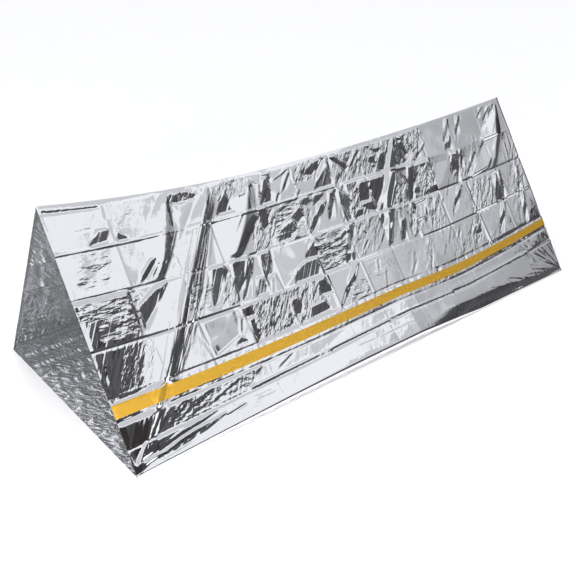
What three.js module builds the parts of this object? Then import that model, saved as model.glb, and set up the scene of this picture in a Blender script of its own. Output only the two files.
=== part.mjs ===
// An emergency tent: one sheet of silvery film wrapped into a three-sided tunnel, open at both ends,
// with its long seam closed by a yellow tape low on the front wall.
// Sizes are in millimetres. X runs along the tunnel, the taped front wall faces -Y, Z is up.
import * as THREE from 'three';

const LENGTH = 2400;
const BASE_WIDTH = 1014;
const RIDGE_HEIGHT = 772; // at both open ends
const SLANT = 924; // film from the ridge to the foot of a wall
const FILM_THICKNESS = 1.5;
const TAPE_THICKNESS = 1;
const TAPE_GAP = 0.3; // between the film and the tape on it

// The ridge hangs lower between its ends, lowest a little nearer to the near end.
const SAG_DEPTH = 67;
const SAG_PLACE = -300;
// The slack walls hang inwards where the ridge is low.
const HANG_DEPTH = 34;

// The rounded top of the ridge.
const RIDGE_HALF_WIDTH = 7;
const RIDGE_ROUND_DROP = 5;

// The bend at the foot of a wall: tight at the pulled corners, rounder between them.
const FOOT_RADIUS_END = 5;
const FOOT_RADIUS_MIDDLE = 26;
const FOOT_STEPS = 4;

// Pack creases: cross lines at an even pitch, alternately out and in.
const CROSS_PITCH = 200;
const CROSS_RISE = 2.5;

// Columns of points along the tunnel. Five columns make one pack cell.
const COLUMN_PITCH = CROSS_PITCH / 5;

// Over this length at each open end the film is pulled straight, so creases and folds fade to a small share.
const END_PULL = 90;
const END_SLACK = 0.15;

// Shares of a wall, and of a pull fold, over which the relief fades out at either end.
const WALL_FADE = 0.125;
const FOLD_FADE = 0.2;

const HALF_LENGTH = LENGTH / 2;
const HALF_BASE = BASE_WIDTH / 2;
const COLUMNS = LENGTH / COLUMN_PITCH;

// Lines along the front wall, as shares of the way down from the ridge, at the near end, the middle and the
// far end. Each stands out or in by out, and rows of points lead down to it from the line above.
const FRONT_LINES = [
  { name: 'crease_1', near: 0.175, middle: 0.153, far: 0.175, out: 4, rows: 3 },
  { name: 'crease_2', near: 0.352, middle: 0.356, far: 0.343, out: -5, rows: 3 },
  { name: 'crease_3', near: 0.543, middle: 0.56, far: 0.515, out: 5, rows: 3 },
  { name: 'crease_4', near: 0.718, middle: 0.738, far: 0.682, out: -4, rows: 3 },
  { name: 'tape_top', near: 0.739, middle: 0.757, far: 0.699, out: 0, rows: 1 },
  { name: 'tape_bottom', near: 0.789, middle: 0.802, far: 0.735, out: 0, rows: 1 },
  { name: 'crease_5', near: 0.806, middle: 0.824, far: 0.752, out: -4, rows: 1 },
  { name: 'crease_6', near: 0.905, middle: 0.893, far: 0.823, out: 5, rows: 1 },
  { name: 'foot', near: 1, middle: 1, far: 1, out: 0, rows: 2 },
];

const BACK_LINES = [
  { name: 'crease_1', near: 0.17, middle: 0.15, far: 0.17, out: 3, rows: 2 },
  { name: 'crease_2', near: 0.35, middle: 0.34, far: 0.35, out: -4, rows: 2 },
  { name: 'crease_3', near: 0.54, middle: 0.53, far: 0.54, out: 4, rows: 2 },
  { name: 'crease_4', near: 0.72, middle: 0.71, far: 0.72, out: -4, rows: 2 },
  { name: 'crease_5', near: 0.89, middle: 0.86, far: 0.89, out: 3, rows: 1 },
  { name: 'foot', near: 1, middle: 1, far: 1, out: 0, rows: 1 },
];

// Pull folds: each runs from a place near the ridge (along, down) to a lower one and stands proud of the
// wall as a straight ridge. Most lean towards the near end on their way down.
const FRONT_FOLDS = [
  { fromAlong: -750, fromDown: 25, toAlong: -950, toDown: 325, halfWidth: 55, rise: 13 },
  { fromAlong: -550, fromDown: 5, toAlong: -1190, toDown: 905, halfWidth: 65, rise: 22 },
  { fromAlong: -365, fromDown: 5, toAlong: -620, toDown: 500, halfWidth: 60, rise: 20 },
  { fromAlong: -165, fromDown: 10, toAlong: -300, toDown: 330, halfWidth: 50, rise: 12 },
  { fromAlong: 60, fromDown: 20, toAlong: -165, toDown: 660, halfWidth: 50, rise: 14 },
  { fromAlong: 435, fromDown: 20, toAlong: 170, toDown: 500, halfWidth: 55, rise: 17 },
  { fromAlong: 640, fromDown: 20, toAlong: 450, toDown: 300, halfWidth: 50, rise: 12 },
  { fromAlong: 855, fromDown: 20, toAlong: 600, toDown: 455, halfWidth: 55, rise: 13 },
  { fromAlong: 1175, fromDown: 15, toAlong: 870, toDown: 625, halfWidth: 55, rise: 18 },
  { fromAlong: -1190, fromDown: 905, toAlong: -680, toDown: 840, halfWidth: 40, rise: 9 },
  { fromAlong: 1185, fromDown: 900, toAlong: 420, toDown: 850, halfWidth: 45, rise: 11 },
];

const BACK_FOLDS = [
  { fromAlong: -560, fromDown: 20, toAlong: -1130, toDown: 860, halfWidth: 70, rise: 18 },
  { fromAlong: -120, fromDown: 20, toAlong: -430, toDown: 520, halfWidth: 65, rise: 15 },
  { fromAlong: 330, fromDown: 20, toAlong: 60, toDown: 480, halfWidth: 65, rise: 15 },
  { fromAlong: 720, fromDown: 20, toAlong: 520, toDown: 380, halfWidth: 60, rise: 12 },
  { fromAlong: 1130, fromDown: 30, toAlong: 760, toDown: 620, halfWidth: 65, rise: 16 },
];

// Lines along the floor between the two foot bends, as shares of the way across. The two that lift are
// soft lengthwise folds. The film between the rest lies flat on the ground.
const FLOOR_LINES = [
  { share: 0.1, lift: 0 },
  { share: 0.19, lift: 9 },
  { share: 0.28, lift: 0 },
  { share: 0.5, lift: 0 },
  { share: 0.64, lift: 0 },
  { share: 0.73, lift: 11 },
  { share: 0.82, lift: 0 },
];

// A value that runs smoothly from the near end through the middle to the far end.
function alongLength({ near, middle, far }, x) {
  const u = x / HALF_LENGTH;
  return middle + ((far - near) / 2) * u + ((far + near) / 2 - middle) * u * u;
}

// How far the ridge hangs below its ends.
function ridgeSag(x) {
  const span = x < SAG_PLACE ? HALF_LENGTH + SAG_PLACE : HALF_LENGTH - SAG_PLACE;
  const u = (x - SAG_PLACE) / span;
  return SAG_DEPTH * (1 - u * u);
}

function footRadius(x) {
  const u = x / HALF_LENGTH;
  return FOOT_RADIUS_END + (FOOT_RADIUS_MIDDLE - FOOT_RADIUS_END) * (1 - u * u);
}

// How much of its creases and folds the film keeps at x: little at the open ends, all of it between them.
function slackness(x) {
  return THREE.MathUtils.clamp((HALF_LENGTH - Math.abs(x)) / END_PULL, END_SLACK, 1);
}

// A wave of straight flanks that runs between -1 and 1, with one full turn to every two pitches.
function zigzag(distance, pitch) {
  const turn = THREE.MathUtils.euclideanModulo(distance / pitch, 2);
  return 2 * Math.abs(turn - 1) - 1;
}

// How far the pull folds raise the film at a place on a wall. down is measured along the film.
function foldRise(folds, along, down) {
  let rise = 0;
  for (const fold of folds) {
    const start = new THREE.Vector2(fold.fromAlong, fold.fromDown);
    const run = new THREE.Vector2(fold.toAlong, fold.toDown).sub(start);
    const place = new THREE.Vector2(along, down).sub(start);
    const share = place.dot(run) / run.lengthSq();
    const aside = Math.abs(place.cross(run)) / run.length();
    const pastEnd = Math.min(share, 1 - share) / FOLD_FADE;
    const taper = THREE.MathUtils.clamp(pastEnd + 0.5, 0, 1);
    rise += fold.rise * taper * Math.max(0, 1 - aside / fold.halfWidth);
  }
  return rise;
}

// The points of one wall at x, from the ridge to its foot. side is -1 for the front and 1 for the back.
// Returns the points, the centre and radius of the foot's bend, and the direction that faces out.
function wallSection(side, lines, folds, x) {
  const sag = ridgeSag(x);
  const radius = footRadius(x);
  const shoulder = new THREE.Vector2(side * RIDGE_HALF_WIDTH, RIDGE_HEIGHT - sag - RIDGE_ROUND_DROP);
  const centre = new THREE.Vector2(side * (HALF_BASE - radius), radius);
  const toShoulder = shoulder.clone().sub(centre);
  const outward = toShoulder.clone().normalize();
  outward.rotateAround(new THREE.Vector2(), -side * Math.acos(radius / toShoulder.length()));
  const foot = centre.clone().addScaledVector(outward, radius);

  const points = [shoulder];
  let above = { share: 0, out: 0 };
  for (const line of lines) {
    const share = alongLength(line, x);
    for (let row = 1; row <= line.rows; row += 1) {
      const step = row / line.rows;
      const down = THREE.MathUtils.lerp(above.share, share, step);
      const fade = Math.min(1, down / WALL_FADE, (1 - down) / WALL_FADE);
      const hang = HANG_DEPTH * (sag / SAG_DEPTH) * Math.sin(Math.PI * down);
      const crease = THREE.MathUtils.lerp(above.out, line.out, step);
      const relief = CROSS_RISE * zigzag(x, CROSS_PITCH) + foldRise(folds, x, down * SLANT);
      const out = slackness(x) * (crease + fade * relief) - hang;
      points.push(shoulder.clone().lerp(foot, down).addScaledVector(outward, out));
    }
    above = { share, out: line.out };
  }
  return { points, centre, radius, outward };
}

// The points of a foot's bend, from the wall round to the ground, without the wall's own last point.
function footBend({ centre, radius, outward }) {
  const start = outward.angle();
  const ground = -Math.PI / 2;
  const turn = outward.x < 0 ? ground + 2 * Math.PI - start : ground - start;
  const points = [];
  for (let step = 1; step <= FOOT_STEPS; step += 1) {
    const angle = start + (turn * step) / FOOT_STEPS;
    points.push(new THREE.Vector2(Math.cos(angle), Math.sin(angle)).multiplyScalar(radius).add(centre));
  }
  return points;
}

// One closed section of the film's outer face at x: from the ridge down the front, under the floor and
// up the back.
function filmSection(x) {
  const front = wallSection(-1, FRONT_LINES, FRONT_FOLDS, x);
  const back = wallSection(1, BACK_LINES, BACK_FOLDS, x);
  const ridge = new THREE.Vector2(0, RIDGE_HEIGHT - ridgeSag(x));
  const frontBend = footBend(front);
  const backBend = footBend(back);
  const floorFade = 1 - (x / HALF_LENGTH) ** 2;
  const floorStart = frontBend.at(-1);
  const floorEnd = backBend.at(-1);
  const floor = FLOOR_LINES.map(({ share, lift }) => {
    const point = floorStart.clone().lerp(floorEnd, share);
    point.y = lift * floorFade;
    return point;
  });
  const downFront = [ridge, ...front.points, ...frontBend];
  const upBack = [...backBend.reverse(), ...back.points.reverse()];
  const section = [...downFront, ...floor, ...upBack];
  return section.map(({ x: across, y: up }) => new THREE.Vector3(x, across, up));
}

// The outward direction at each point of a grid of closed sections.
function outwardDirections(grid) {
  return grid.map((section, column) => {
    const before = grid[Math.max(0, column - 1)];
    const after = grid[Math.min(grid.length - 1, column + 1)];
    return section.map((_, row) => {
      const along = after[row].clone().sub(before[row]);
      const next = section[(row + 1) % section.length];
      const last = section[(row + section.length - 1) % section.length];
      const outward = next.clone().sub(last).cross(along);
      if (column === 0 || column === grid.length - 1) {
        outward.x = 0; // the ends are cut square
      }
      return outward.normalize();
    });
  });
}

// A copy of a grid of points, moved out by a distance.
function offsetGrid(grid, directions, distance) {
  return grid.map((section, column) =>
    section.map((point, row) => point.clone().addScaledVector(directions[column][row], distance)),
  );
}

// A closed geometry for a sheet whose two faces are grids of points. Its quads are split along the lean of
// the pull folds. A sheet whose sections are closed has edges only at its two ends, an open one all round.
function sheetGeometry(outer, inner, sectionsClosed) {
  const columns = outer.length;
  const rows = outer[0].length;
  const positions = [...outer.flat(), ...inner.flat()].flatMap((point) => point.toArray());
  const triangles = [];
  const index = (column, row) => column * rows + (row % rows);
  const inside = (vertex) => vertex + columns * rows;
  const edge = (from, to) => {
    triangles.push(from, to, inside(to), from, inside(to), inside(from));
  };

  const rowSteps = sectionsClosed ? rows : rows - 1;
  for (let column = 0; column + 1 < columns; column += 1) {
    for (let row = 0; row < rowSteps; row += 1) {
      const a = index(column, row);
      const b = index(column, row + 1);
      const c = index(column + 1, row);
      const d = index(column + 1, row + 1);
      triangles.push(a, b, c, c, b, d);
      triangles.push(inside(a), inside(c), inside(b), inside(c), inside(d), inside(b));
    }
    if (!sectionsClosed) {
      edge(index(column, 0), index(column + 1, 0));
      edge(index(column + 1, rows - 1), index(column, rows - 1));
    }
  }
  for (let row = 0; row < rowSteps; row += 1) {
    edge(index(0, row + 1), index(0, row));
    edge(index(columns - 1, row), index(columns - 1, row + 1));
  }

  const geometry = new THREE.BufferGeometry();
  geometry.setAttribute('position', new THREE.Float32BufferAttribute(positions, 3));
  geometry.setIndex(triangles);
  geometry.computeVertexNormals();
  return geometry;
}

// The row of a section where a line of the front wall lies. The ridge and the shoulder come before the lines.
function frontRow(name) {
  let row = 1;
  for (const line of FRONT_LINES) {
    row += line.rows;
    if (line.name === name) {
      return row;
    }
  }
  throw new Error(`no line named ${name}`);
}

function namedMesh(name, geometry, look) {
  const mesh = new THREE.Mesh(geometry, new THREE.MeshStandardMaterial(look));
  mesh.name = name;
  return mesh;
}

const filmGrid = [];
for (let column = 0; column <= COLUMNS; column += 1) {
  filmGrid.push(filmSection(column * COLUMN_PITCH - HALF_LENGTH));
}
const filmOutward = outwardDirections(filmGrid);

const filmInner = offsetGrid(filmGrid, filmOutward, -FILM_THICKNESS);
const film = namedMesh('film', sheetGeometry(filmGrid, filmInner, true), {
  color: 0xd8dade,
  metalness: 1,
  roughness: 0.2,
});

// The tape lies on the rows of film between its two edges.
const tapeRows = [frontRow('tape_top'), frontRow('tape_bottom') + 1];
const underTape = filmGrid.map((section) => section.slice(...tapeRows));
const tapeOutward = filmOutward.map((section) => section.slice(...tapeRows));
const tapeInner = offsetGrid(underTape, tapeOutward, TAPE_GAP);
const tapeOuter = offsetGrid(underTape, tapeOutward, TAPE_GAP + TAPE_THICKNESS);
const seamTape = namedMesh('seam_tape', sheetGeometry(tapeOuter, tapeInner, false), {
  color: 0xd9a62e,
  metalness: 0,
  roughness: 0.45,
});

const tent = new THREE.Group();
tent.add(film, seamTape);

export default tent;
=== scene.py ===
# An emergency tent: a three-sided tunnel of crinkled silvery film with a yellow tape along its seam.
# X runs along the tunnel, the taped front wall faces -Y, Z is up. Shapes are worked out in millimetres.
import math

import bpy
import numpy as np
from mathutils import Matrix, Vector


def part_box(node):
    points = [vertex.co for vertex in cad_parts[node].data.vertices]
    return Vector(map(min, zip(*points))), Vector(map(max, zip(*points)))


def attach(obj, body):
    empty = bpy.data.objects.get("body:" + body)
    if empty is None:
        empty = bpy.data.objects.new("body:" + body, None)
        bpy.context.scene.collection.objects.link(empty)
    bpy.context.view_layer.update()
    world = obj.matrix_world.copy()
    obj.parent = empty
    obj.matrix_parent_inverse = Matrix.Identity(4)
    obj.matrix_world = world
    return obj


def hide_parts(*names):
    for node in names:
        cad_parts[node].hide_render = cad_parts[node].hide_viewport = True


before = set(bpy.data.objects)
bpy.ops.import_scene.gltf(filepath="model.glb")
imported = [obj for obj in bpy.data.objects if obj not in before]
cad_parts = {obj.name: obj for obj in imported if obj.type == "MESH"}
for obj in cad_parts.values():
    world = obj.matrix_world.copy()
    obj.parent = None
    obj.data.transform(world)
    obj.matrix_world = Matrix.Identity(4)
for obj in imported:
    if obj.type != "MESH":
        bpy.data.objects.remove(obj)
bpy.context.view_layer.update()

MM = 0.001
SEED = 41

# The tunnel's sizes, from the frame.
film_low, film_high = (np.array(corner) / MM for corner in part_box("film"))
HALF_LENGTH = (film_high[0] - film_low[0]) / 2
HALF_BASE = (film_high[1] - film_low[1]) / 2
RIDGE_HEIGHT = film_high[2]
SLANT = math.hypot(HALF_BASE, RIDGE_HEIGHT)

# The ridge hangs lower between its ends, and the slack walls hang inwards there.
SAG_DEPTH = 67
SAG_PLACE = -300
HANG_DEPTH = 34
RIDGE_HALF_WIDTH = 7
RIDGE_ROUND_DROP = 8

# Low on the wall the film hangs in further: how far, at which share of the way down, over which shares
# above and below it, and where along the tunnel it grows and goes.
FLARE_DEPTH = 7
FLARE_PLACE = 0.88
FLARE_ABOVE = 0.22
FLARE_BELOW = 0.12
FLARE_GROWTH = 500
FLARE_FULL_TO = 70
FLARE_GONE_AT = 420

# The bend at the foot of a wall: tight at the pulled corners, rounder between them.
FOOT_RADIUS_END = 5
FOOT_RADIUS_MIDDLE = 26
FOOT_ROWS = 6

# Along the farther half of the front's foot the film rolls under, and the bend shrinks to a share.
ROLL_CREST = [
    # along, down
    (200, 890),
    (350, 872),
    (700, 868),
    (850, 884),
    (1050, 905),
    (1200, 922),
]
ROLL_TOP = 760
ROLL_ALONG = (180, 400)
ROLL_SLOPE = 0.22
ROLL_ROUNDNESS = 12
ROLLED_FOOT = 0.3
ROLLED_FOOT_ALONG = (150, 550)

CURL_REACH = 9
CURL_SLOPE = 0.35

# How far from the ridge, the foot and the ends the film is free to fold, and how free it is at the ends.
RIDGE_FADE = 9
FOOT_FADE = 18
END_FADE = 14
END_FREE = 0.25

# The tape holds part of the folds and most of the rest, and eases off just beyond its edges.
TAPE_HOLDS_FOLDS = 0.45
TAPE_HOLDS_REST = 0.85
TAPE_EASE = 5
TAPE_LIFT = 0.7

# The pack creases that cross the film, along the tunnel. They are fainter on the lowest bands.
CROSS_CREASES = [-985, -780, -590, -385, -170, 22, 210, 410, 600, 797, 998]
CROSS_FLANK = 7
CROSS_HEIGHTS = (0.5, 1.7)
LOW_BANDS = 4
LOW_CROSS = 0.3

# The panes between the creases are bent by up to this much.
CELL_HEIGHT = 1.8

# The creases along a wall are higher and lower by turns. The rows of points next to them lie this near.
CREASE_FLANK = 8
CREASE_SWELLS = (0.3, 1.4)
SWELL_PLACES = np.arange(-1300, 1400, 90)
BESIDE_CREASE = 5

# The spacing of the points of each wall, along the tunnel and down the film.
FRONT_PITCH = (4.0, 3.4)
BACK_PITCH = (5.0, 5.0)

# The film under the tent: its pack creases, its crumples, and where it lies still.
FLOOR_ROWS = 165
FLOOR_CREASE_PITCH = 94
FLOOR_CREASE_HEIGHT = 15
FLOOR_CREASE_FLANK = 9
FLOOR_FACETS = [
    # height, along, across
    (8, 260, 90),
    (6, 80, 40),
    (6, 28, 22),
]
FLOOR_WANDER = [(6, 300, 300)]
FLOOR_CRUMPLE_HEIGHT = 11
FLOOR_EDGE_RISE = 36
FLOOR_END_FADE = 30
FLOOR_END_FREE = 0.3
FLOOR_MARKS = {"lean": 1.0, "level": 0.5, "streak": 0.0}

# The pull folds lean towards the near end by this much for each millimetre down the wall.
LEAN = 0.6

# How steep the flank of a pleat is: steeper near the near end than near the far one.
PLEAT_SLOPES = [
    # along, slope
    (-600, 0.25),
    (-300, 0.23),
    (0, 0.19),
    (500, 0.19),
    (1000, 0.155),
]
# A pleat opens over a fifth of its length and closes a little more slowly. Its returns are narrow.
PLEAT_OPENS = 5
PLEAT_CLOSES = 3.5
PLEAT_RETURN = 0.3
LEAST_RETURN = 4
LEAST_FLANK = 1

# Both walls are folded alike, the back one turned about: along the tunnel its measures run the other way.
# Lines along a wall: shares of the way down from the ridge at the near end, the middle and the far end,
# how far the film stands out there, and the height of the sharp crease along it.
LINES = [
    # name, near, middle, far, out, crease
    ("crease_1", 0.175, 0.160, 0.175, 1.0, 1.3),
    ("crease_2", 0.352, 0.356, 0.343, -1.0, -1.4),
    ("crease_3", 0.543, 0.556, 0.515, 0.5, -1.4),
    ("crease_4", 0.718, 0.738, 0.682, -1.0, -1.1),
    ("tape_top", 0.739, 0.757, 0.699, 0.0, 0.0),
    ("tape_bottom", 0.789, 0.802, 0.735, 0.0, 0.0),
    ("crease_5", 0.806, 0.824, 0.752, -0.5, -1.8),
    ("crease_6", 0.905, 0.893, 0.823, 0.5, -2.0),
    ("foot", 1.0, 1.0, 1.0, 0.0, 0.0),
]
BACK_LINES = [line for line in LINES if not line[0].startswith("tape")]
# On the farther half the first crease is this much wider on the flank that looks down.
EASED_CREASE = 1
EASED_ALONG = (300, 600)
EASED_FLANK = 5

# Pull folds from the ridge down a wall: three points that the crest of each passes, along the tunnel and
# down the film, the widths of its flanks towards the near and the far end, its height and its fine pleats.
FOLDS = [
    # along, down, along, down, along, down, near_flank, far_flank, rise, pleats
    (-735, 5, -790, 160, -860, 320, 90, 34, 8, 2),
    (-548, 5, -745, 330, -1190, 905, 105, 58, 11, 5),
    (-370, 8, -440, 170, -594, 372, 125, 52, 6, 0),
    (435, 5, 340, 168, 205, 495, 26, 58, 11.5, 0),
    (1158, 8, 1075, 190, 985, 335, 110, 40, 6.5, 0),
]
# A fold is narrow at its ends. It rises soon below the ridge and ends more slowly.
FOLD_NARROW = 0.3
FOLD_WIDENS = 1.6
FOLD_NARROWS = 1.4
FOLD_OPENS = 10
FOLD_CLOSES = 5
# The fine pleats beside a fold: their places in widths of its far flank, their own flanks and heights.
FOLD_PLEAT_PLACES = (0.2, 1.3)
FOLD_PLEAT_FLANKS = (7, 12)
FOLD_PLEAT_HEIGHTS = (1.0, 2.2)
# Where the film beside a fold is streaked, in widths of its far flank, and where it is smooth. Both come in
# faster than the fold rises.
STREAK_MIDDLE = 0.3
STREAK_REACH = 1.3
STREAK_FADE = 2
FULLY_STREAKED = 5
SLEEK = 0.85
SLEEK_NEAR = 10
SLEEK_FADE = 6
MARK_RISE = 3

# The film steps back steeply around a turned pane, and is calm a little beyond the edge.
PANE_EDGE = 5
PANE_STEEP = 0.7
PANE_CALM_EDGE = 6
# How streaked a pane is that looks well down.
PANE_STREAKS = 0.4
PANE_STREAK_EDGE = 4
STREAKED_BELOW = -5

# Panes that the folds have turned: how far the film comes out in each 100 mm down, how smooth it is, and
# the corners, along the tunnel and down the film. A pane that goes in on its way down looks down.
PANES = [
    # out_down, smooth, corners
    (-12, 0.8, (-1030, 100), (-995, 100), (-1008, 140), (-1068, 150)),
    (-12, 0.8, (-962, 116), (-957, 116), (-936, 147), (-966, 148)),
    (-12, 0.8, (-905, 345), (-850, 335), (-985, 480), (-982, 395)),
    (-14, 0.5, (-725, 3), (-660, 5), (-620, 24), (-625, 42), (-690, 50), (-722, 42)),
    (-12, 0.9, (-493, 38), (-478, 130), (-548, 130)),
    (-9, 0.85, (-662, 330), (-608, 332), (-600, 350), (-672, 478), (-696, 478)),
    (-11, 0.8, (-570, 328), (-482, 328), (-560, 450), (-590, 496)),
    (-9, 0.7, (-480, 430), (-455, 432), (-460, 500), (-512, 500)),
    (-9, 0.4, (-436, 332), (-385, 332), (-400, 430), (-440, 450)),
    (-3, 0, (-168, 380), (-30, 380), (-60, 505), (-168, 505)),
    (-8, 0.8, (-303, 25), (-285, 28), (-290, 135), (-345, 135)),
    (-10, 0.8, (-300, 8), (-268, 8), (-272, 45)),
    (-13, 0.7, (-100, 62), (-45, 14), (5, 6), (-25, 38), (-60, 72)),
    (-7, 0.9, (18, 48), (32, 48), (25, 137), (-66, 137)),
    (-8, 0.7, (60, 15), (78, 12), (128, 80), (118, 98)),
    (-8, 0.7, (-372, 150), (-332, 150), (-340, 230), (-372, 245)),
    (-8, 0.8, (-176, 186), (-172, 238), (-215, 265), (-232, 222)),
    (-8, 0.8, (-232, 240), (-212, 264), (-258, 312), (-318, 312), (-285, 256)),
    (-9, 0.7, (-158, 160), (-122, 158), (-135, 200), (-152, 190)),
    (-9, 0.8, (-85, 160), (-45, 162), (-70, 190), (-100, 205)),
    (-7, 0.9, (36, 158), (84, 205), (68, 325), (44, 325)),
    (-9, 0.8, (112, 285), (138, 290), (132, 315), (85, 328)),
    (-8, 0.8, (160, 166), (205, 168), (195, 262), (140, 255)),
    (-9, 0.6, (150, 272), (205, 262), (210, 315), (165, 300)),
    (-9, 0.9, (-172, 352), (-170, 430), (-228, 418), (-215, 395)),
    (-9, 0.85, (-250, 434), (-176, 430), (-196, 506), (-320, 506), (-300, 455)),
    (-9, 0.8, (10, 355), (20, 360), (-20, 392), (-85, 398)),
    (-10, 0.6, (-20, 462), (8, 462), (0, 508), (-35, 508)),
    (-8, 0.92, (218, 166), (320, 166), (270, 238), (224, 318)),
    (-7, 0.9, (352, 168), (388, 168), (308, 328), (240, 328)),
    (-9, 0.8, (262, 66), (292, 66), (285, 100), (262, 92)),
    (-8, 0.7, (325, 62), (352, 64), (338, 146), (302, 146)),
    (-9, 0.8, (466, 18), (476, 18), (495, 105), (480, 112)),
    (-10, 0.8, (478, 272), (500, 278), (492, 302), (472, 300)),
    (-8, 0.6, (520, 298), (600, 288), (598, 325), (515, 325)),
    (-9, 0.8, (218, 338), (262, 338), (208, 398)),
    (-8, 0.85, (318, 395), (342, 395), (314, 495), (292, 490)),
    (-9, 0.7, (500, 395), (528, 395), (515, 430), (500, 425)),
    (-10, 0.6, (-600, 525), (-565, 522), (-560, 570), (-590, 575)),
    (-7, 0.8, (-585, 575), (-570, 570), (-568, 678), (-582, 678)),
    (-12, 0.7, (-225, 530), (-190, 525), (-175, 600), (-235, 595)),
    (-12, 0.8, (-300, 625), (-225, 622), (-220, 668), (-310, 672)),
    (-11, 0.8, (-375, 565), (-345, 560), (-335, 600), (-350, 640), (-378, 640)),
    (-12, 0.8, (-650, 630), (-630, 656), (-668, 656)),
    (-12, 0.6, (742, 112), (784, 88), (772, 158), (738, 150)),
    (-11, 0.8, (982, 343), (993, 343), (990, 488), (942, 478)),
    (-12, 0.4, (722, 552), (768, 548), (766, 590), (728, 592)),
    (7, 0.6, (1150, 22), (1092, 166), (995, 166), (1020, 112)),
    (6, 0.6, (1000, 170), (1085, 170), (965, 300), (840, 314)),
    (6, 0.9, (556, 92), (540, 126), (476, 152), (500, 116)),
    (12, 0.5, (440, 340), (505, 340), (470, 418), (415, 424)),
    (-14, 0.8, (602, 58), (614, 74), (548, 144), (488, 162), (548, 122)),
    (-24, 0.9, (-1196, 7), (-1000, 5), (-1000, 18), (-1196, 18)),
    (-12, 0.8, (296, 34), (338, 38), (330, 54), (300, 52)),
    (-8, 0.85, (-8, 166), (14, 166), (-28, 285), (-46, 285)),
    (-8, 0.6, (-75, 205), (-45, 205), (-140, 318), (-160, 318)),
    (-6, 0.8, (462, 165), (495, 165), (446, 325), (420, 325)),
    (-5, 0.6, (28, 335), (56, 335), (-22, 500), (-42, 500)),
    (-15, 0.4, (-24, 526), (2, 522), (-122, 675), (-158, 675)),
    (-11, 0.5, (752, 172), (775, 172), (752, 262), (732, 262)),
    (-12, 0.8, (728, 340), (750, 340), (676, 430), (650, 440)),
    (-14, 0.7, (968, 495), (988, 495), (900, 628), (880, 628)),
    (-14, 0.7, (1118, 488), (1134, 488), (1092, 630), (1078, 630)),
    (-14, 0.8, (1100, 16), (1118, 16), (1062, 72), (1046, 74)),
    (-14, 0.8, (1128, 12), (1140, 12), (1112, 48), (1100, 50)),
    (-14, 0.8, (1045, 12), (1056, 12), (1024, 48), (1014, 50)),
    (-14, 0.8, (870, 12), (884, 12), (852, 88), (836, 92)),
    (-8, 0.7, (788, 10), (806, 10), (764, 104), (744, 108)),
    (-11, 0.6, (778, 170), (794, 170), (758, 322), (744, 322)),
    (-12, 0.7, (814, 170), (825, 170), (809, 255), (799, 255)),
    (-11, 0.7, (1006, 338), (1024, 338), (1008, 482), (994, 482)),
    (-11, 0.6, (1142, 348), (1158, 348), (1124, 480), (1110, 480)),
    (-5, 0.5, (440, 40), (470, 40), (466, 146), (432, 146)),
    (-3, 0, (500, 170), (600, 170), (600, 322), (490, 322)),
    (-7, 0, (490, 8), (596, 8), (585, 60), (500, 105)),
    (-9, 0.7, (-498, 340), (-470, 340), (-548, 495), (-575, 495)),
    (0, 0.8, (625, 8), (742, 8), (720, 152), (615, 152)),
    (0, 0.8, (615, 175), (732, 175), (722, 318), (612, 318)),
    (-1, 0.85, (-372, 338), (-190, 338), (-240, 415), (-372, 500)),
    (-4.6, 0.8, (-775, 525), (-640, 525), (-650, 620), (-765, 660)),
    (4, 0.3, (790, 492), (1195, 478), (1195, 628), (790, 655)),
    (0, 0.8, (-135, 75), (-105, 90), (-85, 138), (-150, 138)),
    (0, 0.8, (-75, 232), (-48, 232), (-48, 318), (-135, 318)),
    (0, 0.8, (-680, 60), (-600, 60), (-640, 140), (-735, 140)),
    (0, 0.9, (-585, 160), (-470, 160), (-545, 300), (-660, 310)),
    (-11, 0.9, (-1204, 748), (-1068, 752), (-1186, 890)),
    (-20, 0.8, (-1204, 664), (-1060, 664), (-1064, 684), (-1204, 684)),
    (-20, 0.8, (-1204, 729), (-1072, 729), (-1078, 747), (-1204, 747)),
    (-10, 0.8, (-1130, 842), (-990, 842), (-1005, 856), (-1155, 886)),
    (-24, 0.9, (-1090, 832), (-300, 829), (-300, 841), (-1090, 843)),
    (-24, 0.9, (-300, 829), (30, 817), (30, 828), (-300, 841)),
    (-20, 0.9, (30, 817), (430, 800), (430, 810), (30, 828)),
    (-16, 0.9, (430, 800), (1000, 768), (1000, 776), (430, 810)),
    (-6, 0.2, (-1204, 330), (-1002, 332), (-1010, 510), (-1050, 690), (-1204, 690)),
    (-9, 0.3, (-1010, 762), (-620, 768), (-700, 832), (-1090, 836)),
    (-9, 0, (-580, 518), (-390, 518), (-395, 678), (-585, 678)),
    (-4, 0, (-380, 518), (-172, 518), (-180, 678), (-385, 678)),
    (-3, 0, (60, 3), (350, 3), (320, 146), (60, 146)),
    (-5, 0, (360, 3), (600, 3), (480, 148), (330, 147)),
    (-13, 0.6, (-1195, 920), (-1010, 880), (-850, 874), (-1000, 906)),
    (-13, 0.6, (-1150, 888), (-1000, 860), (-885, 851), (-1080, 889)),
    (-12, 0.8, (-1204, 892), (-1188, 892), (-1162, 884), (-1196, 916)),
    (-4, 0, (90, 151), (600, 154), (600, 325), (90, 327)),
    (-4, 0, (-170, 332), (420, 331), (400, 504), (-170, 511)),
]
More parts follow.
